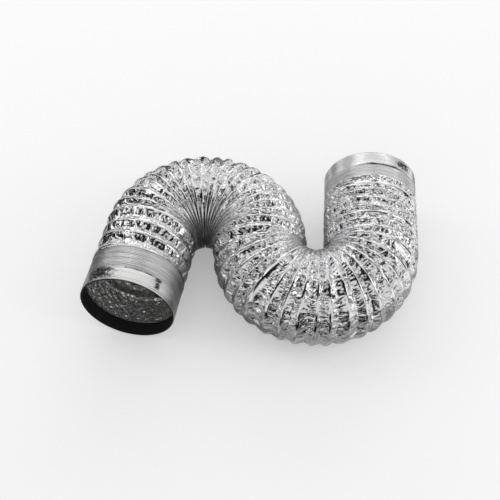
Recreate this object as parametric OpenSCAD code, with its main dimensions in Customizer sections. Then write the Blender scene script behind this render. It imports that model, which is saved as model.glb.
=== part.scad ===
// Flexible air duct for a 150 mm spigot: a spring-wire helix held between two pleated foil plies,
// with a taped collar of close-packed turns at each mouth. It lies on the floor as a flat S.
// X runs from the left mouth's side to the right one's, Y away from the left mouth, Z up.

/* [Duct] */
// Radius of the outer ply over the wire, half the duct's overall diameter
crest_r = 77.5; // [77.5:0.1:78.5]
// Diameter of the spring wire
wire_d = 1.2; // [1:0.05:1.25]
// Depth of a pleat between two turns of the wire, where the turns stand well apart
pleat_depth = 4.4; // [3:0.1:5]
// Wall of each foil ply
foil_t = 0.6; // [0.4:0.05:0.6]

/* [Collars] */
// Radius of both mouths' bores
mouth_r = 75.2; // [75:0.05:75.3]
// Width of the tape band and of the liner inside it
band_w = 26; // [20:1:32]
// Length of the close-packed turns behind the left band
left_packed = 39; // [30:1:42]
// Length of the close-packed turns behind the right band
right_packed = 22; // [18:1:30]

/* [Lie of the duct] */
// Radius of both bends, at the middle of the duct
bend_r = 91; // [91:1:110]
// Angle that the left bend turns through
left_bend_angle = 166; // [150:1:175]
// Angle that the right bend turns through
right_bend_angle = 176; // [150:1:180]
// Length of the straight left arm, with its collar
left_arm = 147; // [140:1:180]
// Length of the straight between the two bends
middle = 18; // [16:1:40]
// Length of the straight right arm, with its collar
right_arm = 154; // [145:1:190]
// Direction that the left arm points in, counted from X towards Y
left_heading = 77.4; // [70:0.1:90]

/* [Hidden] */
// Turns of the wire in each stretch. The joints stand on these counts.
left_arm_turns = 3;
bend_turns = 18;
middle_turns = 1;
right_arm_turns = 7;
packed_pitch = 3;

left_bend_turn = left_arm_turns;
middle_turn = left_bend_turn + bend_turns;
right_bend_turn = middle_turn + middle_turns;
right_arm_turn = right_bend_turn + bend_turns;
last_turn = right_arm_turn + right_arm_turns;

// The duct is cut into short rigid lengths at these turns: two turns a length, three in the
// middle one and in the last two.
cuts = concat(
    [for (turn = [0 : 2 : middle_turn - 1]) turn],
    [for (turn = [right_bend_turn + 1 : 2 : right_arm_turn + 1]) turn],
    [last_turn - 3, last_turn]
);
lengths = len(cuts) - 1;
// The inner ply is cut less often, at every third or fourth of those places
inner_cuts = [0, 6, 12, 18, 25, 31, 37, 41, last_turn];
inner_lengths = len(inner_cuts) - 1;

// Radii of the layers, from the outside in
wire_r = wire_d/2;
helix_r = crest_r - 2.9;
inner_crest_r = crest_r - 3.8;
ply_gap = 0.2;
band_t = 0.3;
packed_foil_r = crest_r - 0.55;
packed_valley_r = crest_r - 0.4;
packed_helix_r = packed_foil_r - 0.05 - wire_r;
liner_r = packed_helix_r - wire_r - 0.05;
lip_t = 0.4;
end_web_t = 0.5;
end_web_r = crest_r - pleat_depth - 2*foil_t - ply_gap;
// The pleats' wire starts this far behind a collar
lead_in = 1.5;
splice_r = 1.25*wire_r;
splice_gap = 0.4*wire_r;
packed_bead_r = 1.05*wire_r;
// Half the opening in a close-packed ring, as an angle round the duct
step_angle = 1.5;

// A pleat is at most this many times as deep as its valley is far from the nearer wire turn
fold_ratio = 1.2;
// Clearance between two lengths, on each side of a cut
cut_gap = 0.25;
wire_gap = 0.3;
facets = 18;
round_fn = 120;
wire_fn = 24;

foil_colour = [0.80, 0.81, 0.83];
inner_foil_colour = [0.70, 0.71, 0.72];
wire_colour = [0.52, 0.53, 0.55];
tape_colour = [0.87, 0.88, 0.90];
liner_colour = [0.06, 0.06, 0.06];

function two_digits(number) = str(number < 10 ? "0" : "", number);

// The line through the middle of the duct: arm, bend to the right, straight, bend to the left, arm

left_collar = band_w + left_packed;
right_collar = band_w + right_packed;
left_arc = bend_r*left_bend_angle*PI/180;
right_arc = bend_r*right_bend_angle*PI/180;
left_bend_at = left_arm;
middle_at = left_bend_at + left_arc;
right_bend_at = middle_at + middle;
right_arm_at = right_bend_at + right_arc;
duct_length = right_arm_at + right_arm;

middle_heading = left_heading - left_bend_angle;
right_heading = middle_heading + right_bend_angle;

function towards(angle) = [cos(angle), sin(angle), 0];
function turned(distance, arc) = min(max(distance, 0), arc)/bend_r*180/PI;
function heading(s) =
    left_heading - turned(s - left_bend_at, left_arc) + turned(s - right_bend_at, right_arc);

left_bend_centre = left_arm*towards(left_heading) + bend_r*towards(left_heading - 90);
middle_start = left_bend_centre + bend_r*towards(middle_heading + 90);
right_bend_centre = middle_start + middle*towards(middle_heading) + bend_r*towards(middle_heading + 90);
right_arm_start = right_bend_centre + bend_r*towards(right_heading - 90);

function plan_point(s) =
    s < left_bend_at ? s*towards(left_heading)
    : s < middle_at ? left_bend_centre + bend_r*towards(heading(s) + 90)
    : s < right_bend_at ? middle_start + (s - middle_at)*towards(middle_heading)
    : s < right_arm_at ? right_bend_centre + bend_r*towards(heading(s) - 90)
    : right_arm_start + (s - right_arm_at)*towards(right_heading);

// The origin is under the middle of the duct's box
outline = [
    for (s = [0 : duct_length/400 : duct_length + 0.01])
        for (side = [-crest_r, crest_r])
            plan_point(min(s, duct_length)) + side*towards(heading(s) + 90)
];
outline_x = [for (point = outline) point.x];
outline_y = [for (point = outline) point.y];
box_middle = [(min(outline_x) + max(outline_x))/2, (min(outline_y) + max(outline_y))/2, -crest_r];

function centre(s) = plan_point(s) - box_middle;

// Distance along the duct of a turn. Turns before the first and after the last go on at its pitch.
left_pitch = (left_arm - left_collar - lead_in)/left_arm_turns;
right_pitch = (right_arm - right_collar - lead_in)/right_arm_turns;
function station(turn) =
    turn < left_bend_turn ? left_collar + lead_in + turn*left_pitch
    : turn < middle_turn ? left_bend_at + (turn - left_bend_turn)*left_arc/bend_turns
    : turn < right_bend_turn ? middle_at + (turn - middle_turn)*middle/middle_turns
    : turn < right_arm_turn ? right_bend_at + (turn - right_bend_turn)*right_arc/bend_turns
    : right_arm_at + (turn - right_arm_turn)*right_pitch;

// The helix. Each half turn is a true half circle, from the top of the duct down its left side or
// from the bottom up its right side, tilted so that its ends are half a pitch apart.

function left_of(line) = [-line.y, line.x, 0]/norm([line.x, line.y]);

// Point at a turn along the duct, round (0 to 1) from the top, at a radius
function on_turn(turn, round, r) =
    let (
        upper = round < 0.5,
        side = upper ? 1 : -1,
        from_turn = turn - round + (upper ? 0 : 0.5),
        from = centre(station(from_turn)) + [0, 0, side*r],
        to = centre(station(from_turn + 0.5)) - [0, 0, side*r],
        angle = 360*(upper ? round : round - 0.5)
    )
    (from + to)/2 + cos(angle)*(from - to)/2
        + side*sin(angle)*norm(from - to)/2*left_of(to - from);

function gap_between_turns(turn, round) =
    norm(on_turn(turn + 0.5, round, crest_r) - on_turn(turn - 0.5, round, crest_r));

// Half circle of wire. Each end is trimmed by a length: a bead bridges the trims between two halves.
module half_ring(from, to, side, trim_start, trim_end) {
    ring_r = norm(from - to)/2;
    start_angle = trim_start/ring_r*180/PI;
    end_angle = trim_end/ring_r*180/PI;
    along = (from - to)/norm(from - to);
    across = side*left_of(to - from);
    normal = cross(along, across);
    place = [
        [along.x, across.x, normal.x, (from.x + to.x)/2],
        [along.y, across.y, normal.y, (from.y + to.y)/2],
        [along.z, across.z, normal.z, (from.z + to.z)/2],
        [0, 0, 0, 1]
    ];
    multmatrix(place)
        rotate(start_angle)
            rotate_extrude(angle = 180 - start_angle - end_angle, $fn = round_fn)
                translate([ring_r, 0])
                    circle(wire_r, $fn = wire_fn);
}

module half_turn(number, trim_start, trim_end) {
    side = number % 2 == 0 ? 1 : -1;
    from = centre(station(number/2)) + [0, 0, side*helix_r];
    to = centre(station(number/2 + 0.5)) - [0, 0, side*helix_r];
    half_ring(from, to, side, trim_start, trim_end);
}

// Spring wire from one turn to another. A small bead joins each pair of half turns.
module wire_turns(from_turn, to_turn) {
    first = 2*from_turn;
    last = 2*to_turn - 1;
    color(wire_colour) {
        for (number = [first : last])
            half_turn(number, number == first ? wire_gap : splice_gap,
                number == last ? wire_gap : splice_gap);
        for (number = [first + 1 : last])
            translate(on_turn(number/2, number % 2 == 0 ? 0 : 0.5, helix_r))
                rotate(heading(station(number/2)))
                    sphere(splice_r, $fn = wire_fn);
    }
}

// Pleated foil

function nearer_turn(turn, round) =
    let (here = on_turn(turn, round, crest_r))
        min(
            norm(on_turn(turn + 0.5, round, crest_r) - here),
            norm(on_turn(turn - 0.5, round, crest_r) - here)
        );
function pleat(turn, round) = min(pleat_depth, fold_ratio*nearer_turn(turn, round));
function outer_valley_r(turn, round) = crest_r - pleat(turn, round);
function inner_valley_r(turn, round) =
    min(outer_valley_r(turn, round) - foil_t - ply_gap, inner_crest_r - 0.3);

// A length of one ply is a thin tube, made as a helical strip. Its crest follows the wire, and each
// turn's far valley is the next turn's near one. Both ends are cut along a valley, which leaves one
// step across a crest at the top of the duct.
module ply(from_turn, to_turn, outer) {
    count = facets*(to_turn - from_turn);
    step_round = cut_gap/(2*PI*crest_r);
    crest_radius = outer ? crest_r : inner_crest_r;

    function step_at(i, last) = i == 0 ? step_round : i == last ? 1 - step_round : (i % facets)/facets;
    function crest(i) = [from_turn + i/facets, step_at(i, count), crest_radius];
    function valley(i) =
        let (
            turn = from_turn - 0.5 + i/facets,
            round = step_at(i, count + facets),
            gap = cut_gap/gap_between_turns(turn, round),
            radius = outer ? outer_valley_r(turn, round) : inner_valley_r(turn, round)
        )
        [turn + (i < facets ? gap : i > count ? -gap : 0), round, radius];

    places = concat(
        [for (i = [0 : count]) crest(i)],
        [for (i = [0 : count + facets]) valley(i)]
    );
    face_count = len(places);
    points = concat(
        [for (place = places) on_turn(place[0], place[1], place[2])],
        [for (place = places) on_turn(place[0], place[1], place[2] - foil_t)]
    );
    first_valley = count + 1;
    near_webs = [
        for (i = [0 : count - 1])
            [first_valley + i, first_valley + i + 1, i + 1, i]
    ];
    far_webs = [
        for (i = [0 : count - 1])
            [i, i + 1, first_valley + i + 1 + facets, first_valley + i + facets]
    ];
    webs = concat(near_webs, far_webs);
    start_loop = concat([for (i = [0 : facets]) first_valley + i], [0]);
    end_loop = concat([count], [for (i = [facets : -1 : 0]) first_valley + count + i]);

    function rim(loop) = [
        for (i = [0 : len(loop) - 1])
            let (here = loop[i], next = loop[(i + 1) % len(loop)])
                [next, here, here + face_count, next + face_count]
    ];
    function inwards(quad) = [
        quad[3] + face_count, quad[2] + face_count, quad[1] + face_count, quad[0] + face_count
    ];
    quads = concat(webs, rim(start_loop), rim(end_loop));
    triangles = concat(
        [for (quad = quads) [quad[0], quad[1], quad[2]]],
        [for (quad = quads) [quad[0], quad[2], quad[3]]],
        [for (quad = webs) let (in = inwards(quad)) [in[1], in[2], in[3]]],
        [for (quad = webs) let (in = inwards(quad)) [in[0], in[1], in[3]]]
    );
    polyhedron(points, triangles, convexity = 10);
}

// The first and the last length end square against the collars: their strips run one turn further
// and are cut off there
module beyond_collar(end) {
    reach = 4*crest_r;
    collar = end == "left" ? left_collar : right_collar;
    on_mouth(end)
        translate([-reach/2, -reach/2, collar + cut_gap])
            cube(reach);
}

module pleated_ply(from_turn, to_turn, outer) {
    if (from_turn == 0)
        intersection() {
            ply(-1, to_turn, outer);
            beyond_collar("left");
        }
    else if (to_turn == last_turn)
        intersection() {
            ply(from_turn, last_turn + 1, outer);
            beyond_collar("right");
        }
    else
        ply(from_turn, to_turn, outer);
}

module outer_foil(k) {
    color(foil_colour)
        pleated_ply(cuts[k - 1], cuts[k], true);
}

module inner_foil(k) {
    color(inner_foil_colour)
        pleated_ply(inner_cuts[k - 1], inner_cuts[k], false);
}

// Collars. Each is drawn on its mouth: Z runs into the duct from the mouth's plane.

module on_mouth(end) {
    s = end == "left" ? 0 : duct_length;
    translate(centre(s))
        rotate(heading(s))
            rotate([0, end == "left" ? 90 : -90, 0])
                children();
}

module ring(inner_r, outer_r, from, to) {
    translate([0, 0, from])
        difference() {
            cylinder(h = to - from, r = outer_r, $fn = round_fn);
            translate([0, 0, -1])
                cylinder(h = to - from + 2, r = inner_r, $fn = round_fn);
        }
}

// Aluminium tape round the mouth, turned in over the ends of the foil and the wire
module mouth_band(end) {
    color(tape_colour)
        on_mouth(end) {
            ring(crest_r - band_t, crest_r, 0, band_w);
            ring(liner_r, crest_r, 0, lip_t);
        }
}

// Black band stuck inside the mouth
module liner(end) {
    color(liner_colour)
        on_mouth(end)
            ring(mouth_r, liner_r, 0, band_w);
}

// Foil of the close-packed turns: plain under the tape band, finely ribbed behind it, and closed at
// its inner end by the web that meets the open pleats
module packed_foil(end) {
    collar = end == "left" ? left_collar : right_collar;
    ribs = floor((collar - band_w)/packed_pitch);
    rib_w = (collar - band_w)/ribs;
    profile = concat(
        [[packed_foil_r, lip_t], [crest_r - band_t, lip_t], [crest_r - band_t, band_w]],
        [
            for (k = [0 : ribs - 1])
                each [[packed_valley_r, band_w + k*rib_w], [crest_r, band_w + (k + 0.5)*rib_w]]
        ],
        [
            [packed_valley_r, collar], [end_web_r, collar],
            [end_web_r, collar - end_web_t], [packed_foil_r, collar - end_web_t]
        ]
    );
    color(foil_colour)
        on_mouth(end)
            rotate_extrude($fn = round_fn)
                polygon(profile);
}

// Close-packed turns of the same wire, from the band's inner edge on. Each turn is a plain ring, open
// at the top of the duct, where a short step leads to the next one and a bead closes each corner.
module packed_wire(end) {
    collar = end == "left" ? left_collar : right_collar;
    top = end == "left" ? 180 : 0;
    steps = floor((collar - band_w)/packed_pitch);
    first_at = collar - packed_pitch/2 - steps*packed_pitch;
    function on_ring(number, angle) =
        [packed_helix_r*cos(angle), packed_helix_r*sin(angle), first_at + number*packed_pitch];
    color(wire_colour)
        on_mouth(end) {
            for (number = [0 : steps])
                translate([0, 0, first_at + number*packed_pitch])
                    rotate(top + step_angle)
                        rotate_extrude(angle = 360 - 2*step_angle, $fn = round_fn)
                            translate([packed_helix_r, 0])
                                circle(wire_r, $fn = wire_fn);
            for (number = [0 : steps - 1])
                step_bar(on_ring(number, top + step_angle), on_ring(number + 1, top - step_angle));
        }
}

// Straight length of wire with a bead at each end
module step_bar(from, to) {
    line = to - from;
    length = norm(line);
    translate(from) {
        rotate([0, acos(line.z/length), atan2(line.y, line.x)])
            cylinder(h = length, r = wire_r, $fn = wire_fn);
        for (corner = [[0, 0, 0], line])
            translate(corner)
                sphere(packed_bead_r, $fn = wire_fn);
    }
}

for (end = ["left", "right"]) {
    mouth_band(end);
    liner(end);
    packed_foil(end);
    packed_wire(end);
}
for (k = [1 : lengths]) {
    outer_foil(k);
    wire_turns(cuts[k - 1], cuts[k]);
}
for (k = [1 : inner_lengths])
    inner_foil(k);
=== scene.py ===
"""A flexible air duct: a spring-wire helix between two crumpled foil plies, laid on the floor as an S.

Every stretch of ply and wire is made on a straight duct, runs from the middle of one rigid
length to the middle of the next, and is then laid along the S.
"""

import math

import bmesh
import bpy
import numpy as np
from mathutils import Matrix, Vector


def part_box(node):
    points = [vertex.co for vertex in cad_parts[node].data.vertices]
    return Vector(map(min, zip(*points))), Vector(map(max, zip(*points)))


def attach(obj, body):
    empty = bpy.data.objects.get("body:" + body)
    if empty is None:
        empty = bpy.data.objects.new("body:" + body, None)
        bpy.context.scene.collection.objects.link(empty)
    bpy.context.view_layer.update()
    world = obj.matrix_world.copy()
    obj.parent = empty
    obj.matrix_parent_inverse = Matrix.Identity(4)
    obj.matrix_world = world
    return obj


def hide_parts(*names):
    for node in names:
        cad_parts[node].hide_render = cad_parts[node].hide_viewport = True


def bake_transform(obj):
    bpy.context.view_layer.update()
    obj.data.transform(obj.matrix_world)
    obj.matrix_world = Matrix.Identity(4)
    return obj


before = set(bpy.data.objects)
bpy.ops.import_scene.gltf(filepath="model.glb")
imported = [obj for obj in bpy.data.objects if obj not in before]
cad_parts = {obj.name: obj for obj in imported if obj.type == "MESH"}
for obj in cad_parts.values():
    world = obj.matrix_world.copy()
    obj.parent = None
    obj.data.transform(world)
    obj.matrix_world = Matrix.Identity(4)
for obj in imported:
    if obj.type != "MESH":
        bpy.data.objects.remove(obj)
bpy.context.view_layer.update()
scene = bpy.context.scene
scene.view_settings.view_transform = "Standard"


# The camera stands in front of the duct and looks down on it with a long lens, so that the whole S
# shows, with the inside of its left mouth.
camera_elevation = math.radians(53.54)
camera_distance = 1.986
camera_aim = Vector((-0.0056, -0.0026, 0.0775))
camera_lens = 86.84
camera_film = 36


def in_scene(name, data):
    """Puts a mesh, a lamp or a camera in the scene."""
    made = bpy.data.objects.new(name, data)
    scene.collection.objects.link(made)
    return made


camera_data = bpy.data.cameras.new("camera")
camera_data.lens = camera_lens
camera_data.sensor_width = camera_film
camera = in_scene("camera", camera_data)
away = Vector((0, -math.cos(camera_elevation), math.sin(camera_elevation)))
camera.location = camera_aim + camera_distance * away
camera.rotation_euler = (math.pi / 2 - camera_elevation, 0, 0)
scene.camera = camera


# Shader maths. A Value is a number, a colour or a place that changes over a surface, and a Finish
# holds the nodes of a material, or of the room.
class Value:
    def __init__(self, finish, socket):
        self.finish = finish
        self.socket = socket

    def maths(self, operation, first, second):
        return self.finish.node("ShaderNodeMath", {"operation": operation}, {0: first, 1: second})

    def __add__(self, other):
        return self.maths("ADD", self, other)

    def __mul__(self, other):
        return self.maths("MULTIPLY", self, other)

    def __sub__(self, other):
        return self.maths("SUBTRACT", self, other)

    def __rsub__(self, other):
        return self.maths("SUBTRACT", other, self)

    __radd__ = __add__
    __rmul__ = __mul__

    def between(self, low, high):
        """0 below low, 1 above high, and a soft step from one to the other."""
        sockets = {"Value": self, "From Min": low, "From Max": high}
        return self.finish.node("ShaderNodeMapRange", {"interpolation_type": "SMOOTHSTEP"}, sockets)

    def scaled(self, factors):
        """A place, stretched along its own axes."""
        return self.finish.node("ShaderNodeVectorMath", {"operation": "MULTIPLY"}, {0: self, 1: factors})


class Finish:
    def __init__(self, owner):
        owner.use_nodes = True
        self.owner = owner
        self.tree = owner.node_tree
        self.tree.nodes.clear()

    def node(self, kind, settings=(), sockets=(), output=0):
        """A node of one kind, with its settings and the values or links of its sockets."""
        made = self.tree.nodes.new(kind)
        for setting, value in dict(settings).items():
            setattr(made, setting, value)
        for name, value in dict(sockets).items():
            if isinstance(value, Value):
                self.tree.links.new(value.socket, made.inputs[name])
            else:
                made.inputs[name].default_value = value
        return Value(self, made.outputs[output]) if made.outputs else None

    def mixed(self, factor, low, high):
        """A colour between two colours, which a Mix node keeps in its sockets 6 and 7."""
        sockets = {"Factor": factor, 6: low, 7: high}
        return self.node("ShaderNodeMix", {"data_type": "RGBA"}, sockets, output=2)

    def place(self):
        """Where a point lies on the straight duct: metres along it, to its left and up."""
        return self.node("ShaderNodeAttribute", {"attribute_name": "straight"}, output="Vector")

    def marks_and_shade(self):
        """How far the surface is darkened, up to 1, by dirt and by painted shade and shadow, and below 0
        where it is pale.
        """
        return self.node("ShaderNodeAttribute", {"attribute_name": "marks_and_shade"}, output="Fac")

    def noise(self, vector, scale, detail):
        sockets = {"Vector": vector, "Scale": scale, "Detail": detail}
        return self.node("ShaderNodeTexNoise", sockets=sockets)

    def creases(self, vector, scale):
        """How far a point is from the nearest crease of a crazed sheet."""
        sockets = {"Vector": vector, "Scale": scale}
        return self.node("ShaderNodeTexVoronoi", {"feature": "DISTANCE_TO_EDGE"}, sockets)

    def bump(self, height, distance, strength):
        sockets = {"Height": height, "Distance": distance, "Strength": strength}
        return self.node("ShaderNodeBump", sockets=sockets)

    def looked_at(self):
        """1 for the rays that show the studio itself: to the camera, off a mirror, through glass."""
        camera_ray = self.node("ShaderNodeLightPath", output="Is Camera Ray")
        mirror_ray = self.node("ShaderNodeLightPath", output="Is Glossy Ray")
        glass_ray = self.node("ShaderNodeLightPath", output="Is Transmission Ray")
        return camera_ray + mirror_ray + glass_ray

    def surface(self, **sockets):
        named = {name.replace("_", " "): value for name, value in sockets.items()}
        shader = self.node("ShaderNodeBsdfPrincipled", sockets=named)
        self.node("ShaderNodeOutputMaterial", sockets={"Surface": shader})
        return self.owner


# The studio: a pale floor that keeps the duct's shadow, a white room that the foil mirrors, three
# soft boxes, and black cards overhead, around the duct and flat on the floor, which only the foil
# sees and which give it its dark facets.
floor_size = 6
floor_pale = (0.80, 0.80, 0.80, 1)
floor_glow = 0.32
room_pale = (0.80, 0.80, 0.80, 1)
room_light = 0.75
room_white = 1.0


def flat_sheet(name, size):
    """A flat rectangle with sides of two lengths."""
    sheet = bmesh.new()
    bmesh.ops.create_grid(sheet, x_segments=1, y_segments=1, size=0.5)
    bmesh.ops.scale(sheet, vec=(*size, 1), verts=sheet.verts)
    mesh = bpy.data.meshes.new(name)
    sheet.to_mesh(mesh)
    sheet.free()
    return mesh


floor = in_scene("floor", flat_sheet("floor", (floor_size, floor_size)))

floor_finish = Finish(bpy.data.materials.new("floor_white"))
paint = floor_finish.node("ShaderNodeBsdfDiffuse", sockets={"Color": floor_pale})
strength = floor_glow * floor_finish.looked_at()
glow = floor_finish.node("ShaderNodeEmission", sockets={"Color": (1, 1, 1, 1), "Strength": strength})
both = floor_finish.node("ShaderNodeAddShader", sockets={0: paint, 1: glow})
floor_finish.node("ShaderNodeOutputMaterial", sockets={"Surface": both})
floor.data.materials.append(floor_finish.owner)

room = Finish(bpy.data.worlds.new("room"))
scene.world = room.owner
strength = room_light + (room_white - room_light) * room.looked_at()
glow = room.node("ShaderNodeBackground", sockets={"Color": room_pale, "Strength": strength})
room.node("ShaderNodeOutputWorld", sockets={"Surface": glow})


def soft_box(name, location, size, power):
    """A lamp with a wide face, turned to the duct."""
    data = bpy.data.lights.new(name, "AREA")
    data.shape = "RECTANGLE"
    data.size, data.size_y = size
    data.energy = power
    lamp = in_scene(name, data)
    lamp.location = location
    lamp.rotation_euler = (camera_aim - Vector(location)).to_track_quat("-Z", "Y").to_euler()


soft_box("left_box", location=(-1.6, 0.4, 1.3), size=(1.0, 1.4), power=4.1)
soft_box("right_box", location=(1.6, -0.5, 1.2), size=(0.9, 1.4), power=4.8)
soft_box("back_box", location=(0.2, 1.9, 1.1), size=(2.2, 0.7), power=6.2)


def card_finish(name, dark, light, patches):
    """Matt paint that goes in patches from one grey to another."""
    finish = Finish(bpy.data.materials.new(name))
    where = finish.node("ShaderNodeTexCoord", output="Object")
    patchy = finish.noise(where, scale=patches, detail=2).between(0.42, 0.58)
    colour = finish.mixed(patchy, (dark, dark, dark, 1), (light, light, light, 1))
    paint = finish.node("ShaderNodeBsdfDiffuse", sockets={"Color": colour})
    finish.node("ShaderNodeOutputMaterial", sockets={"Surface": paint})
    return finish.owner


card_black = card_finish("card_black", dark=0.01, light=0.02, patches=1)
card_grey = card_finish("card_grey", dark=0.30, light=0.80, patches=16)


def card(name, material, size):
    """A card that nothing but the foil's reflections sees."""
    made = in_scene(name, flat_sheet(name, size))
    made.data.materials.append(material)
    made.visible_camera = False
    made.visible_diffuse = False
    made.visible_shadow = False
    return made


def black_card(name, elevation, azimuth, distance, size):
    """A black card that faces the duct."""
    up, turn = math.radians(elevation), math.radians(azimuth)
    outward = Vector((math.sin(turn) * math.cos(up), math.cos(turn) * math.cos(up), math.sin(up)))
    made = card(name, card_black, size)
    made.location = camera_aim + distance * outward
    made.rotation_euler = (-outward).to_track_quat("-Z", "Y").to_euler()


def floor_card(name, material, centre, height, size):
    """A card that lies flat on the floor."""
    card(name, material, size).location = (*centre, height)


floor_card("card_floor_left", card_black, centre=(-0.62, 0.0), height=0.0002, size=(0.50, 0.75))
floor_card("card_floor_front", card_black, centre=(0.05, -0.53), height=0.0002, size=(0.80, 0.50))
floor_card("card_floor_back", card_black, centre=(-0.15, 0.60), height=0.0002, size=(0.80, 0.50))
floor_card("card_floor_near", card_grey, centre=(0.0, 0.0), height=0.0004, size=(0.86, 0.60))
black_card("card_over", elevation=70, azimuth=180, distance=1.5, size=(3.2, 1.0))
black_card("card_front", elevation=6, azimuth=180, distance=0.95, size=(1.2, 0.36))
black_card("card_low_left", elevation=5, azimuth=284, distance=0.85, size=(0.62, 0.30))
black_card("card_low_right", elevation=5, azimuth=80, distance=0.85, size=(0.50, 0.30))
black_card("card_low_back", elevation=5, azimuth=352, distance=0.85, size=(0.40, 0.26))
black_card("card_left", elevation=32, azimuth=252, distance=1.6, size=(1.3, 1.1))
black_card("card_right", elevation=28, azimuth=122, distance=1.6, size=(0.5, 0.9))
black_card("card_far_right", elevation=24, azimuth=66, distance=1.7, size=(0.4, 0.9))
black_card("card_back_right", elevation=22, azimuth=15, distance=1.7, size=(0.35, 0.9))
black_card("card_back_left", elevation=22, azimuth=330, distance=1.7, size=(0.35, 0.9))
black_card("card_far_left", elevation=24, azimuth=296, distance=1.7, size=(0.4, 0.9))


# The lie of the duct: a left arm, a bend to the right, a short straight, a bend to the left and a
# right arm. Distances run along its middle line from the left mouth.
crest_r = 0.0775
bend_r = 0.091
left_bend_angle = math.radians(166)
right_bend_angle = math.radians(176)
left_heading = math.radians(77.4)
left_arm = 0.147
middle = 0.018
right_arm = 0.154
band_w = 0.026
left_collar = band_w + 0.039
right_collar = band_w + 0.022

left_bend_at = left_arm
middle_at = left_bend_at + bend_r * left_bend_angle
right_bend_at = middle_at + middle
right_arm_at = right_bend_at + bend_r * right_bend_angle
duct_length = right_arm_at + right_arm
middle_heading = left_heading - left_bend_angle
right_heading = middle_heading + right_bend_angle


def towards(angle):
    return np.stack([np.cos(angle), np.sin(angle)], axis=-1)


def turned(along):
    """How far the duct has turned to the right in its first bend, and to the left in its second."""
    to_right = np.clip(along - left_bend_at, 0, bend_r * left_bend_angle) / bend_r
    to_left = np.clip(along - right_bend_at, 0, bend_r * right_bend_angle) / bend_r
    return to_right, to_left


def heading(along):
    to_right, to_left = turned(along)
    return left_heading - to_right + to_left


def walked(along):
    """Where the middle line has got to, from the left mouth, by adding up its five stretches."""
    to_right, to_left = turned(along)
    right_side = left_heading - math.pi / 2
    left_side = middle_heading + math.pi / 2
    first = np.minimum(along, left_arm)[..., None] * towards(left_heading)
    bend = bend_r * (towards(right_side) - towards(right_side - to_right))
    straight = np.clip(along - middle_at, 0, middle)[..., None] * towards(middle_heading)
    back = bend_r * (towards(left_side) - towards(left_side + to_left))
    last = np.maximum(along - right_arm_at, 0)[..., None] * towards(right_heading)
    return first + bend + straight + back + last


low, high = (np.array(corner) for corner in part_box("left_mouth_band"))
mouth_at = ((low + high) / 2)[:2] - walked(np.array(band_w / 2))


def laid(along, left, up):
    """Points of the straight duct, laid along the S."""
    side = towards(heading(along) + math.pi / 2)
    flat = mouth_at + walked(along) + left[..., None] * side
    return np.concatenate([flat, (crest_r + up)[..., None]], axis=-1)


def lay_along(piece):
    """Keeps where each vertex lies on the straight duct, for the finishes, and bends the mesh."""
    mesh = piece.data
    straight = np.empty(len(mesh.vertices) * 3)
    mesh.vertices.foreach_get("co", straight)
    kept = mesh.attributes.new("straight", "FLOAT_VECTOR", "POINT")
    kept.data.foreach_set("vector", straight)
    bent = laid(*straight.reshape(-1, 3).T)
    mesh.vertices.foreach_set("co", bent.ravel())
    mesh.update()


# The helix. Turns are counted from the left collar, wide in the left arm and closer beyond it, and
# a little uneven, as a duct is that was drawn out by hand. The duct is held as short rigid lengths,
# and a stretch of ply or wire runs between the middles of two of them.
lead_in = 0.0015
arm_pitch = (left_arm - left_collar - lead_in) / 3
far_pitch = (right_arm - right_collar - lead_in) / 7
counted_turns = [-7, 3, 21, 22, 40, 55]
counted_at = [
    left_arm - 10 * arm_pitch,
    left_arm,
    middle_at,
    right_bend_at,
    right_arm_at,
    right_arm_at + 15 * far_pitch,
]
last_turn = 47
numbered_turns = np.linspace(-6, 54, 3001)
wander = 0.0011 * np.sin(2.3 * numbered_turns) + 0.0013 * np.sin(1.1 * numbered_turns + 1.0)
numbered_at = np.interp(numbered_turns, counted_turns, counted_at) + wander
cuts = [*range(0, 21, 2), *range(23, 42, 2), 44, last_turn]
lengths = [f"duct_{number:02d}" for number in range(1, len(cuts))]
middles = [(here + there) / 2 for here, there in zip(cuts, cuts[1:])]


def station(turn):
    return np.interp(turn, numbered_turns, numbered_at)


def turn_at(along):
    return np.interp(along, numbered_at, numbered_turns)


held_by = ["left_collar", *lengths, "right_collar"]
held_at = [left_collar, *(float(station(turn)) for turn in middles), duct_length - right_collar]
stretches = list(zip(held_by, held_by[1:], held_at, held_at[1:]))


# The outer ply: thin aluminium foil, wound on as one long strip. It drapes over each turn of the
# wire and sags between two turns, crumpled into small flat facets. Some crests lie smooth over the
# wire and others are broken by the crumples, and the floor stops those underneath.
ply_rows = 20
ply_columns = 400
pleat_depth = 0.0050
right_pleat_depth = 0.0028
steepest = 2.0
wire_cap = 0.0034
taut_cap = 0.0060
taut_crests = (26, 41, 45)
rounded_share = 0.28
hugging_gap = 0.010
loose_gap = 0.012
smooth_share = 0.055
smooth_edge = 0.0022
outside_broken = 0.6
close_broken = 0.85
buckles_around = 96
buckle_height = 0.0024
lift_height = 0.0012
coarse_height = 0.0005
fine_height = 0.0003
set_in = 0.0004
pulled_by = 0.7
pulled_over = 2.5
row_crowding = 1.5
row_offset = 4096
cut_within = 1e-7
joined_within = 2e-6


def scattered(i, j, seed):
    """A scattered number from -1 to 1, always the same for the same whole numbers, by mixing bits."""
    mixed = i.astype(np.uint32) * np.uint32(73856093) ^ j.astype(np.uint32) * np.uint32(19349663)
    mixed = mixed ^ np.uint32(seed * 83492791 % 2**32)
    mixed = (mixed ^ (mixed >> np.uint32(15))) * np.uint32(2246822519)
    mixed = (mixed ^ (mixed >> np.uint32(13))) * np.uint32(3266489917)
    mixed = mixed ^ (mixed >> np.uint32(16))
    return mixed.astype(np.float64) / 2**31 - 1


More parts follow.
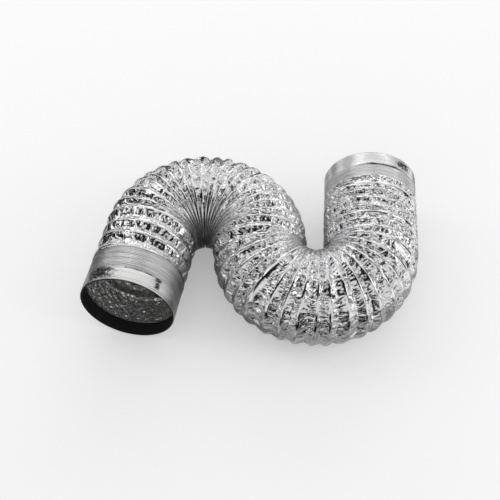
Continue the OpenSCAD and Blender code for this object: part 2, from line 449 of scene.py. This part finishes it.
def facets(rows, around, cells_around, seed, crest_rows=0):
    """Flat facets with sharp creases: scattered heights on a lattice that closes round the duct.

    Where each turn of the helix has crest_rows rows, every other row is a crest and stays at 0.
    """
    across = around * cells_around
    i, j = np.floor(rows), np.floor(across)
    x, y = rows - i, across - j
    i = i.astype(np.int64) + row_offset
    j = j.astype(np.int64)

    def on_lattice(row, column, seed):
        return scattered(row + crest_rows * (column // cells_around), column % cells_around, seed)

    def height(row, column):
        standing = row % 2 if crest_rows else 1
        return on_lattice(row, column, seed) * standing

    here, ahead = height(i, j), height(i + 1, j)
    beside, beyond = height(i, j + 1), height(i + 1, j + 1)
    one_way = np.where(
        x > y,
        here + x * (ahead - here) + y * (beyond - ahead),
        here + y * (beside - here) + x * (beyond - beside),
    )
    other_way = np.where(
        x + y < 1,
        here + x * (ahead - here) + y * (beside - here),
        beyond + (1 - x) * (beside - beyond) + (1 - y) * (ahead - beyond),
    )
    return np.where(on_lattice(i, j, seed + 1) > 0, one_way, other_way)


def crumpled(rows, around, cells_around, seed):
    """Facets on a lattice that is itself pulled about, so that no rows show in it."""
    wide_rows, wide_cells = rows / pulled_over, cells_around // 3
    pull_along = pulled_by * facets(wide_rows, around, wide_cells, seed + 10)
    pull_around = pulled_by * facets(wide_rows, around, wide_cells, seed + 20) / cells_around
    return facets(rows + pull_along, around + pull_around, cells_around, seed)


def gap_between_turns(along, around):
    """Distance from half a turn behind to half a turn ahead, which a bend opens or closes."""
    turn = turn_at(along)
    angle = 2 * math.pi * around
    left, up = crest_r * np.sin(angle), crest_r * np.cos(angle)
    ahead = laid(station(turn + 0.5), left, up)
    behind = laid(station(turn - 0.5), left, up)
    return np.linalg.norm(ahead - behind, axis=-1)


def eased(value, low, high):
    """0 below low, 1 above high, and a soft step from one to the other."""
    share = np.clip((value - low) / (high - low), 0, 1)
    return share * share * (3 - 2 * share)


def off_collars(along, rise):
    """0 at both collars, and 1 from a short way off them."""
    from_left = eased(along, left_collar, left_collar + rise)
    from_right = eased(duct_length - along, right_collar, right_collar + rise)
    return from_left * from_right


def pleat(along, around):
    """(how far the foil sags below the crests, how far from the wire it is, gap, tautness).

    The foil rounds the wire and then runs straight down to the valley. Where the pleats are pinched
    it hugs the wire, and over a few crests it is pulled taut and lies wide and smooth.
    """
    gap = gap_between_turns(along, around)
    phase = turn_at(along) - around
    crest = np.round(phase)
    off = np.abs(phase - crest) * gap
    taut = np.isin(crest, taut_crests) * (1 - eased(np.abs(phase - crest), 0.22, 0.40))
    rounding = np.minimum(wire_cap + taut_cap * taut, rounded_share * gap)
    shallower = eased(along, right_arm_at - 0.06, right_arm_at + 0.03)
    depth = np.minimum(pleat_depth + (right_pleat_depth - pleat_depth) * shallower, steepest * gap)
    fallen = (np.hypot(off, rounding) - rounding) / (np.hypot(gap / 2, rounding) - rounding)
    hugging = 1 + 1.5 * (1 - np.minimum(1, gap / hugging_gap))
    sag = depth * np.minimum(fallen, 1) ** hugging * off_collars(along, rise=0.006)
    return sag, off, gap, taut


def crests_broken(along, gap, taut):
    """How far the crumples run over the crests, from 0 to 1.

    They do on the outside of the left bend, where the turns lie close in the right one, and on the
    right arm, but never over a crest that is pulled taut.
    """
    outside = eased(along, left_bend_at + 0.06, left_bend_at + 0.14) * eased(gap, 0.008, 0.015)
    outside = outside * (1 - eased(along, right_bend_at + 0.02, right_bend_at + 0.10))
    close = eased(along, middle_at - 0.02, right_bend_at + 0.02) * (1 - eased(gap, 0.011, 0.019))
    on_arm = eased(along, right_arm_at - 0.03, right_arm_at + 0.02)
    broken = np.maximum(outside_broken * outside, close_broken * close)
    return np.maximum(broken, on_arm) * (1 - taut)


def outer_radius(along, around):
    """The pleats, with wide facets between the crests and finer ones on them, down to the floor."""
    sag, off, gap, taut = pleat(along, around)
    turn = turn_at(along)
    phase = turn - around
    loose = (1 - 0.8 * taut) * np.minimum(1, gap / loose_gap) * off_collars(along, rise=0.004)
    free = loose * eased(off, 0.0016, 0.0036)
    broken = crests_broken(along, gap, taut)
    off_crest = eased(off, smooth_share * gap, smooth_share * gap + smooth_edge)
    crumples = off_crest + (1 - off_crest) * broken

    hollow = 0.5 - 0.5 * np.cos(2 * math.pi * phase)
    pull_along = 0.5 * hollow * facets(turn * 2, around, cells_around=40, seed=3)
    pull_around = 0.8 * facets(turn * 2, around, cells_around=36, seed=4) / buckles_around
    buckled = facets(2 * phase + pull_along, around + pull_around, buckles_around, seed=1, crest_rows=2)
    lifted = np.abs(crumpled(turn * 3, around, cells_around=100, seed=6))
    coarse = crumpled(turn * 4, around, cells_around=130, seed=5)
    fine = crumpled(turn * 7, around, cells_around=200, seed=2)
    r = crest_r - sag + loose * (buckle_height * crumples * buckled + lift_height * broken * lifted)
    r = r + free * (coarse_height * coarse + fine_height * fine - set_in)

    downwards = -np.cos(2 * math.pi * around)
    floor_at = crest_r / np.maximum(downwards, 0.5)
    return np.minimum(r, floor_at)


def places_of(sheet, mesh):
    """All x, all y and all z of a sheet's vertices."""
    sheet.to_mesh(mesh)
    places = np.empty(len(mesh.vertices) * 3)
    mesh.vertices.foreach_get("co", places)
    return places.reshape(-1, 3).T


def move_to(sheet, mesh, x, y, z):
    """Moves all of a sheet's vertices at once."""
    mesh.vertices.foreach_set("co", np.stack([x, y, z], axis=-1).ravel())
    sheet.clear()
    sheet.from_mesh(mesh)


def cut_square(sheet, from_s, to_s):
    """Cuts a sheet off square at both ends."""
    for cut, way in ((from_s, -1), (to_s, 1)):
        geometry = [*sheet.verts, *sheet.edges, *sheet.faces]
        bmesh.ops.bisect_plane(sheet, geom=geometry, dist=cut_within, plane_co=(cut, 0, 0),
            plane_no=(way, 0, 0), clear_outer=True)


def finished(sheet, mesh, name):
    """Turns a sheet's faces outwards and makes it a piece."""
    bmesh.ops.recalc_face_normals(sheet, faces=sheet.faces)
    sheet.to_mesh(mesh)
    sheet.free()
    return in_scene(name, mesh)


def rolled_ply(name, from_s, to_s, rows, columns, radius):
    """A stretch of ply: a sheet whose rows follow the helix, cut square at both ends and rolled.

    The rows lie closest together over the crests, and slant, so the sheet starts two turns early.
    """
    first = math.floor(turn_at(from_s)) - 2
    turns = math.ceil(turn_at(to_s)) - first
    sheet = bmesh.new()
    bmesh.ops.create_grid(sheet, x_segments=rows * turns, y_segments=columns, size=1)
    mesh = bpy.data.meshes.new(name)
    x, y, z = places_of(sheet, mesh)
    phase = (x + 1) / 2 * turns
    nearest = np.round(phase)
    closer = np.sign(phase - nearest) * np.abs(2 * (phase - nearest)) ** row_crowding / 2
    around = (y + 1) / 2 + 0.5
    move_to(sheet, mesh, station(first + nearest + closer + around), around, z)
    cut_square(sheet, from_s, to_s)
    along, around, _ = places_of(sheet, mesh)
    r = radius(along, around)
    angle = 2 * math.pi * around
    move_to(sheet, mesh, along, r * np.sin(angle), r * np.cos(angle))
    bmesh.ops.remove_doubles(sheet, verts=sheet.verts, dist=joined_within)
    return finished(sheet, mesh, name)


def mark(piece, values):
    """Keeps a number for each vertex, for the finishes."""
    kept = piece.data.attributes.new("marks_and_shade", "FLOAT", "POINT")
    kept.data.foreach_set("value", values)


def mark_pinched_shade(ply):
    """Painted shade: the foil is darkened where its pleats are pinched together, for the shade in the
    deep folds, and made duller.
    """
    straight = np.empty(len(ply.data.vertices) * 3)
    ply.data.vertices.foreach_get("co", straight)
    along, left, up = straight.reshape(-1, 3).T
    gap = gap_between_turns(along, np.arctan2(left, up) / (2 * math.pi))
    mark(ply, 1 - eased(gap, 0.0025, 0.0095))


foil_dull = (0.77, 0.77, 0.78, 1)
foil_bright = (0.89, 0.89, 0.89, 1)
foil_pinched_shade = (0.66, 0.66, 0.66, 1)

foil = Finish(bpy.data.materials.new("outer_foil"))
where = foil.place()
# Painted shade: the colour darkens where the pleats are pinched, standing in for the shade inside the
# close folds.
pinched = foil.marks_and_shade()
cloud = foil.noise(where, scale=45, detail=3).between(0.35, 0.65)
crinkle = 0.6 * foil.creases(where, scale=420) + 0.3 * foil.noise(where, scale=900, detail=3)
foil_material = foil.surface(
    Base_Color=foil.mixed(pinched, foil.mixed(cloud, foil_dull, foil_bright), foil_pinched_shade),
    Metallic=1.0,
    Roughness=0.10 + cloud * 0.08 + pinched * 0.10,
    Normal=foil.bump(crinkle, distance=0.0005, strength=0.35),
)

for number, (held, next_held, from_s, to_s) in enumerate(stretches):
    ply = rolled_ply(f"outer_ply_{number:02d}", from_s, to_s, ply_rows, ply_columns, outer_radius)
    ply.data.materials.append(foil_material)
    mark_pinched_shade(ply)
    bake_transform(ply)
    lay_along(ply)
    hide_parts(f"outer_foil_{max(number, 1):02d}")


# The inner ply: the same foil, laminated to the outer one between the turns and crumpled finer,
# because it lies slack inside the wire.
inner_rows = 14
inner_columns = 300
inner_crest_r = 0.0730
inner_slack = 0.0013
ply_gap = 0.0012
inner_dull = (0.72, 0.72, 0.71, 1)
inner_glint = (0.98, 0.98, 0.97, 1)


def inner_radius(along, around):
    sag, off, gap, taut = pleat(along, around)
    coarse = crumpled(turn_at(along) * 5, around, cells_around=130, seed=7)
    slack = inner_slack * np.minimum(1, gap / hugging_gap)
    hung = inner_crest_r - 0.7 * sag + slack * (coarse - 0.2)
    return np.minimum(hung, outer_radius(along, around) - ply_gap)


inner = Finish(bpy.data.materials.new("inner_foil"))
where = inner.place()
# Painted glints: the base colour goes bright in small specks, standing in for the glints off the fine
# crumples.
glint_speck = inner.noise(where, scale=300, detail=3).between(0.40, 0.60)
crinkle = 0.8 * inner.creases(where, scale=300) + 0.6 * glint_speck
inner_material = inner.surface(
    Base_Color=inner.mixed(glint_speck, inner_dull, inner_glint),
    Metallic=1.0,
    Roughness=0.14 + glint_speck * 0.08,
    Normal=inner.bump(crinkle, distance=0.001, strength=0.35),
)

inner_cuts = [0, 6, 12, 18, 25, 31, 37, 41]
for number, (held, next_held, from_s, to_s) in enumerate(stretches):
    ply = rolled_ply(f"inner_ply_{number:02d}", from_s, to_s, inner_rows, inner_columns, inner_radius)
    ply.data.flip_normals()
    ply.data.materials.append(inner_material)
    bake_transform(ply)
    lay_along(ply)
    here = (turn_at(from_s) + turn_at(to_s)) / 2
    stands_for = sum(cut <= here for cut in inner_cuts)
    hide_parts(f"inner_foil_{stands_for}")


# The spring wire: one long helix of hard-drawn steel wire, held between the two plies right under
# the crests.
wire_r = 0.0006
foil_over_wire = 0.0002
helix_r = crest_r - foil_over_wire - wire_r
wire_steps = 60
wire_sides = 8
wire_dark = (0.34, 0.34, 0.35, 1)
wire_bright = (0.52, 0.52, 0.53, 1)

wire = Finish(bpy.data.materials.new("spring_wire"))
drawn = wire.noise(wire.node("ShaderNodeTexCoord", output="Object"), scale=900, detail=2)
wire_material = wire.surface(
    Base_Color=wire.mixed(drawn, wire_dark, wire_bright),
    Metallic=1.0,
    Roughness=0.30 + drawn * 0.15,
)


def wound_wire(name, from_s, to_s):
    """A stretch of the helix: a narrow sheet rolled into a wire, then wound and cut square."""
    first = math.floor(turn_at(from_s)) - 1
    turns = math.ceil(turn_at(to_s)) + 1 - first
    sheet = bmesh.new()
    bmesh.ops.create_grid(sheet, x_segments=wire_steps * turns, y_segments=wire_sides, size=1)
    mesh = bpy.data.meshes.new(name)
    x, y, _ = places_of(sheet, mesh)
    turn = first + (x + 1) / 2 * turns
    section = math.pi * y
    r = helix_r + wire_r * np.cos(section)
    angle = 2 * math.pi * turn
    along = station(turn) + wire_r * np.sin(section)
    move_to(sheet, mesh, along, r * np.sin(angle), r * np.cos(angle))
    bmesh.ops.remove_doubles(sheet, verts=sheet.verts, dist=joined_within)
    cut_square(sheet, from_s, to_s)
    bmesh.ops.holes_fill(sheet, edges=sheet.edges, sides=0)
    for face in sheet.faces:
        face.smooth = len(face.verts) == 4
    return finished(sheet, mesh, name)


for number, (held, next_held, from_s, to_s) in enumerate(stretches):
    coil = wound_wire(f"wire_coil_{number:02d}", from_s, to_s)
    coil.data.materials.append(wire_material)
    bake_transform(coil)
    lay_along(coil)
    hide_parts(f"wire_turns_{max(number, 1):02d}")


# The collars. At each end the turns are pushed close together, and the foil over them is smoothed
# down by hand into fine ribs. Inside, the ply lies slack and crumpled up to the liner's edge.
collars = {"left": left_collar, "right": right_collar}
collar_columns = 400
rib_pitch = 0.003
rib_rows = 9
rib_depth = 0.0007
ribs_set_in = 0.0005
rib_slack = 0.00008
lining_row = 0.0008
lining_lap = 0.004
lining_rise = 0.0009
lining_set_in = 0.0006
coarse_cell = 0.0042
lining_coarse = 0.0012
fine_cell = 0.0018
lining_fine = 0.0005
packed_dull = (0.68, 0.68, 0.69, 1)
packed_bright = (0.88, 0.88, 0.88, 1)
packed_rubbed = (0.40, 0.40, 0.40, 1)


def turned_ring(name, end, profile, closed, shape, marks_and_shade=None):
    """Spins a profile of (distance from the mouth, radius) round the duct, and shapes it finely.

    The last argument says how far the surface is darkened at a place, by dirt and by painted shadow (1),
    and how pale it is (-1), for the finishes.
    """
    ring = bmesh.new()
    corners = [ring.verts.new((distance, 0, r)) for distance, r in profile]
    edges = [ring.edges.new(pair) for pair in zip(corners, corners[1:])]
    if closed:
        edges.append(ring.edges.new((corners[-1], corners[0])))
    bmesh.ops.spin(ring, geom=[*corners, *edges], cent=(0, 0, 0), axis=(1, 0, 0),
        angle=2 * math.pi, steps=collar_columns, use_merge=True)
    mesh = bpy.data.meshes.new(name)
    distance, left, up = places_of(ring, mesh)
    around = np.arctan2(left, up) / (2 * math.pi) % 1
    soil_and_shade = marks_and_shade(distance, around) if marks_and_shade else np.zeros(len(distance))
    distance, r = shape(distance, around, np.hypot(left, up))
    along = distance if end == "left" else duct_length - distance
    angle = 2 * math.pi * around
    move_to(ring, mesh, along, r * np.sin(angle), r * np.cos(angle))
    piece = finished(ring, mesh, name)
    mark(piece, soil_and_shade)
    lay_along(piece)
    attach(piece, f"{end}_collar")
    return piece


def steps_between(first, last, count):
    return [first + (last - first) * step / count for step in range(count + 1)]


def ribs(distance, around, r):
    """Close turns with the foil smoothed down over them."""
    phase = (distance - band_w) / rib_pitch - around
    off = phase - np.round(phase)
    uneven = facets(phase * 0.7, around, cells_around=24, seed=31)
    lobes = 1 - np.sqrt(1 - np.minimum(4 * off * off, 0.98))
    slack = rib_slack * crumpled(phase * 1.2, around, cells_around=60, seed=33)
    return distance, r - ribs_set_in - rib_depth * lobes * (0.9 + 0.3 * uneven) + slack


def lining(distance, around, r):
    """The slack, crumpled ply inside the close turns, which runs smooth under the liner."""
    coarse = crumpled(distance / coarse_cell, around, cells_around=110, seed=41)
    fine = crumpled(distance / fine_cell, around, cells_around=260, seed=42)
    clear = eased(distance, band_w - 0.001, band_w + 0.004)
    return distance, r + clear * (lining_coarse * coarse + lining_fine * fine - lining_set_in)


packed = Finish(bpy.data.materials.new("packed_foil"))
where = packed.place()
streak = packed.noise(where.scaled((900, 14, 14)), scale=1, detail=3).between(0.3, 0.7)
rub = packed.noise(where.scaled((430, 7, 7)), scale=1, detail=2).between(0.54, 0.68)
rubbing = 0.7 * streak + 0.3 * packed.noise(where, scale=600, detail=2)
packed_material = packed.surface(
    Base_Color=packed.mixed(rub, packed.mixed(streak, packed_dull, packed_bright), packed_rubbed),
    Metallic=1.0,
    Roughness=0.26 + streak * 0.10,
    Normal=packed.bump(rubbing, distance=0.0003, strength=0.6),
)

for end, collar in collars.items():
    rows = round((collar - band_w) / rib_pitch * rib_rows)
    profile = [(distance, crest_r) for distance in steps_between(band_w, collar, rows)]
    turns = turned_ring(f"{end}_packed_turns", end, profile, closed=False, shape=ribs)
    turns.data.materials.append(packed_material)
    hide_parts(f"{end}_packed_foil")

    starts = band_w - lining_lap
    rows = round((collar - starts) / lining_row)
    profile = [
        (distance, inner_crest_r + lining_rise * (collar - distance) / (collar - starts))
        for distance in steps_between(starts, collar, rows)
    ]
    lined = turned_ring(f"{end}_packed_lining", end, profile, closed=False, shape=lining)
    lined.data.flip_normals()
    lined.data.materials.append(inner_material)
    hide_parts(f"{end}_packed_foil")

    packed_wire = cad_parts[f"{end}_packed_wire"]
    packed_wire.data.materials.clear()
    packed_wire.data.materials.append(wire_material)


# The mouth bands: aluminium tape wound once round each mouth over the close turns, pressed down
# by hand and turned in over the edge. Each has a lapped end, a crumpled spot that is darkened and a
# painted shadow line along its inner edge; the left one has smudges, and the right one a pale patch.
lip_r = 0.0757
tape_rows = 36
tape_set_in = 0.0002
lap_height = 0.00018
dent_cell = 0.018
dent_height = 0.00022
rib_show = 0.00006
edge_waver = 0.0004
crush_cell = 0.0026
crush_height = 0.0013
torn_cell = 0.004
tape_dull = (0.80, 0.80, 0.80, 1)
tape_bright = (0.92, 0.92, 0.91, 1)
tape_scratched = (0.60, 0.60, 0.60, 1)
tape_soiled_and_shaded = (0.05, 0.05, 0.05, 1)

# Where a lap ends, as a share of the way round, and each spot: a share of the way round, half its
# width, how far it is from the mouth and half its width that way.
laps = {"left": 0.883, "right": 0.03}
crushed_at = {
    "left": [(0.094, 0.045, 0.0145, 0.0120)],
    "right": [(0.884, 0.028, 0.0120, 0.0085)],
}
soiled_and_shaded_at = {
    "left": [
        *crushed_at["left"],
        (0.887, 0.009, 0.0125, 0.0070),
        (0.889, 0.014, 0.0230, 0.0055),
        # Painted shadow: a thin dark line along the inner edge of the tape.
        (0.950, 0.055, 0.0250, 0.0015),
    ],
    # On the right, the second spot is a painted shadow line along the tape's inner edge.
    "right": [*crushed_at["right"], (0.955, 0.090, 0.0245, 0.0022)],
}
pale_at = {"left": [], "right": [(0.994, 0.038, 0.0130, 0.0080)]}


def spots(places, distance, around, edge=4, torn=0.35):
    """How far inside the nearest spot a point is, from 0 to 1, with a torn outline or a clean one."""
    share = np.zeros(len(distance))
    ragged = 1 + torn * crumpled(distance / torn_cell, around, cells_around=120, seed=54)
    for spot_around, half_around, spot_distance, half_distance in places:
        off_around = ((around - spot_around + 0.5) % 1 - 0.5) / half_around * ragged
        off_distance = (distance - spot_distance) / half_distance * ragged
        share = np.maximum(share, np.exp(-(off_around**edge) - off_distance**edge))
    return share


def tape_marks(end):
    """How far the tape is darkened by dirt and by painted shadow, or made pale, for one end."""

    def soil_and_shade(distance, around):
        pale = spots(pale_at[end], distance, around, edge=12, torn=0)
        return spots(soiled_and_shaded_at[end], distance, around) - pale

    return soil_and_shade


def pressed(end):
    """The tape's hand-pressed surface, for one end."""

    def shape(distance, around, r):
        outside = eased(r, crest_r - 0.0006, crest_r - 0.0001)
        off_lap = (around - laps[end] + 0.5) % 1 - 0.5
        lap = lap_height * eased(off_lap, -0.001, 0.001) * eased(-off_lap, -0.12, 0)
        dents = dent_height * crumpled(distance / dent_cell, around, cells_around=18, seed=52)
        under = rib_show * np.cos(2 * math.pi * (distance / rib_pitch - around))
        crushed = crumpled(distance / crush_cell, around, cells_around=180, seed=51) - 0.4
        crush = crush_height * spots(crushed_at[end], distance, around) * crushed
        waver = edge_waver * facets(around * 0, around, cells_around=20, seed=53)
        waver = waver * eased(distance, 0.015, band_w)
        return distance + waver, r + outside * (dents + under + lap + crush - tape_set_in)

    return shape


tape = Finish(bpy.data.materials.new("aluminium_tape"))
where = tape.place()
marks_and_shade = tape.marks_and_shade()
brushed = tape.noise(where.scaled((1400, 9, 9)), scale=1, detail=3)
scratch = tape.noise(where.scaled((520, 6, 6)), scale=1, detail=2).between(0.56, 0.70)
cloud = tape.noise(where, scale=28, detail=2).between(0.3, 0.7)
# Painted shadow and dirt: the tape darkens to near black over the smudges and the shadow lines.
grime_and_shade = tape.noise(where, scale=380, detail=3).between(0.26, 0.50) * marks_and_shade.between(0, 1)
clean = tape.mixed(scratch, tape.mixed(cloud, tape_dull, tape_bright), tape_scratched)
tape_material = tape.surface(
    Base_Color=tape.mixed(grime_and_shade, clean, tape_soiled_and_shaded),
    Metallic=1.0,
    Roughness=0.20 + brushed * 0.16 + (0 - marks_and_shade).between(0, 1) * 0.25,
    Normal=tape.bump(brushed, distance=0.0002, strength=0.5),
)

for end in collars:
    lip = [(0.0, lip_r), (0.0, crest_r - 0.0010), (0.0002, crest_r - 0.0004), (0.0005, crest_r - 0.0001)]
    outside = [(distance, crest_r) for distance in steps_between(0.0010, band_w, tape_rows)]
    profile = [*lip, *outside, (band_w, lip_r)]
    band = turned_ring(f"{end}_tape_band", end, profile, closed=True, shape=pressed(end),
        marks_and_shade=tape_marks(end))
    band.data.materials.append(tape_material)
    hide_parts(f"{end}_mouth_band")


# The liners: a black band of matt tape stuck round the inside of each mouth and turned out over the
# lip. It is cut by hand, so its inner edge is a little uneven.
liner_r = 0.0752
liner_t = 0.00045
liner_rows = 18
turned_out = 0.00025
turned_out_to = crest_r - 0.0007
cut_waver = 0.0009
ripple_cell = 0.012
ripple_height = 0.00008
liner_black = (0.006, 0.006, 0.006, 1)
liner_worn = (0.013, 0.013, 0.013, 1)


def cut_by_hand(distance, around, r):
    waver = cut_waver * facets(around * 0, around, cells_around=30, seed=61)
    waver = waver * eased(distance, 0.018, band_w)
    ripple = ripple_height * crumpled(distance / ripple_cell, around, cells_around=30, seed=62)
    return distance + waver, r + ripple


liner = Finish(bpy.data.materials.new("black_liner"))
where = liner.place()
grain = liner.noise(where, scale=1500, detail=3)
liner_material = liner.surface(
    Base_Color=liner.mixed(liner.noise(where, scale=50, detail=2), liner_black, liner_worn),
    Roughness=0.62 + grain * 0.2,
    Normal=liner.bump(grain, distance=0.0002, strength=0.5),
)

for end in collars:
    stuck_r = liner_r + liner_t
    seen_side = [(distance, liner_r) for distance in steps_between(-turned_out, band_w, liner_rows)]
    stuck_side = [(band_w, stuck_r), (0, stuck_r), (0, turned_out_to), (-turned_out, turned_out_to)]
    profile = seen_side + stuck_side
    band = turned_ring(f"{end}_black_liner", end, profile, closed=True, shape=cut_by_hand)
    band.data.materials.append(liner_material)
    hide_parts(f"{end}_liner")
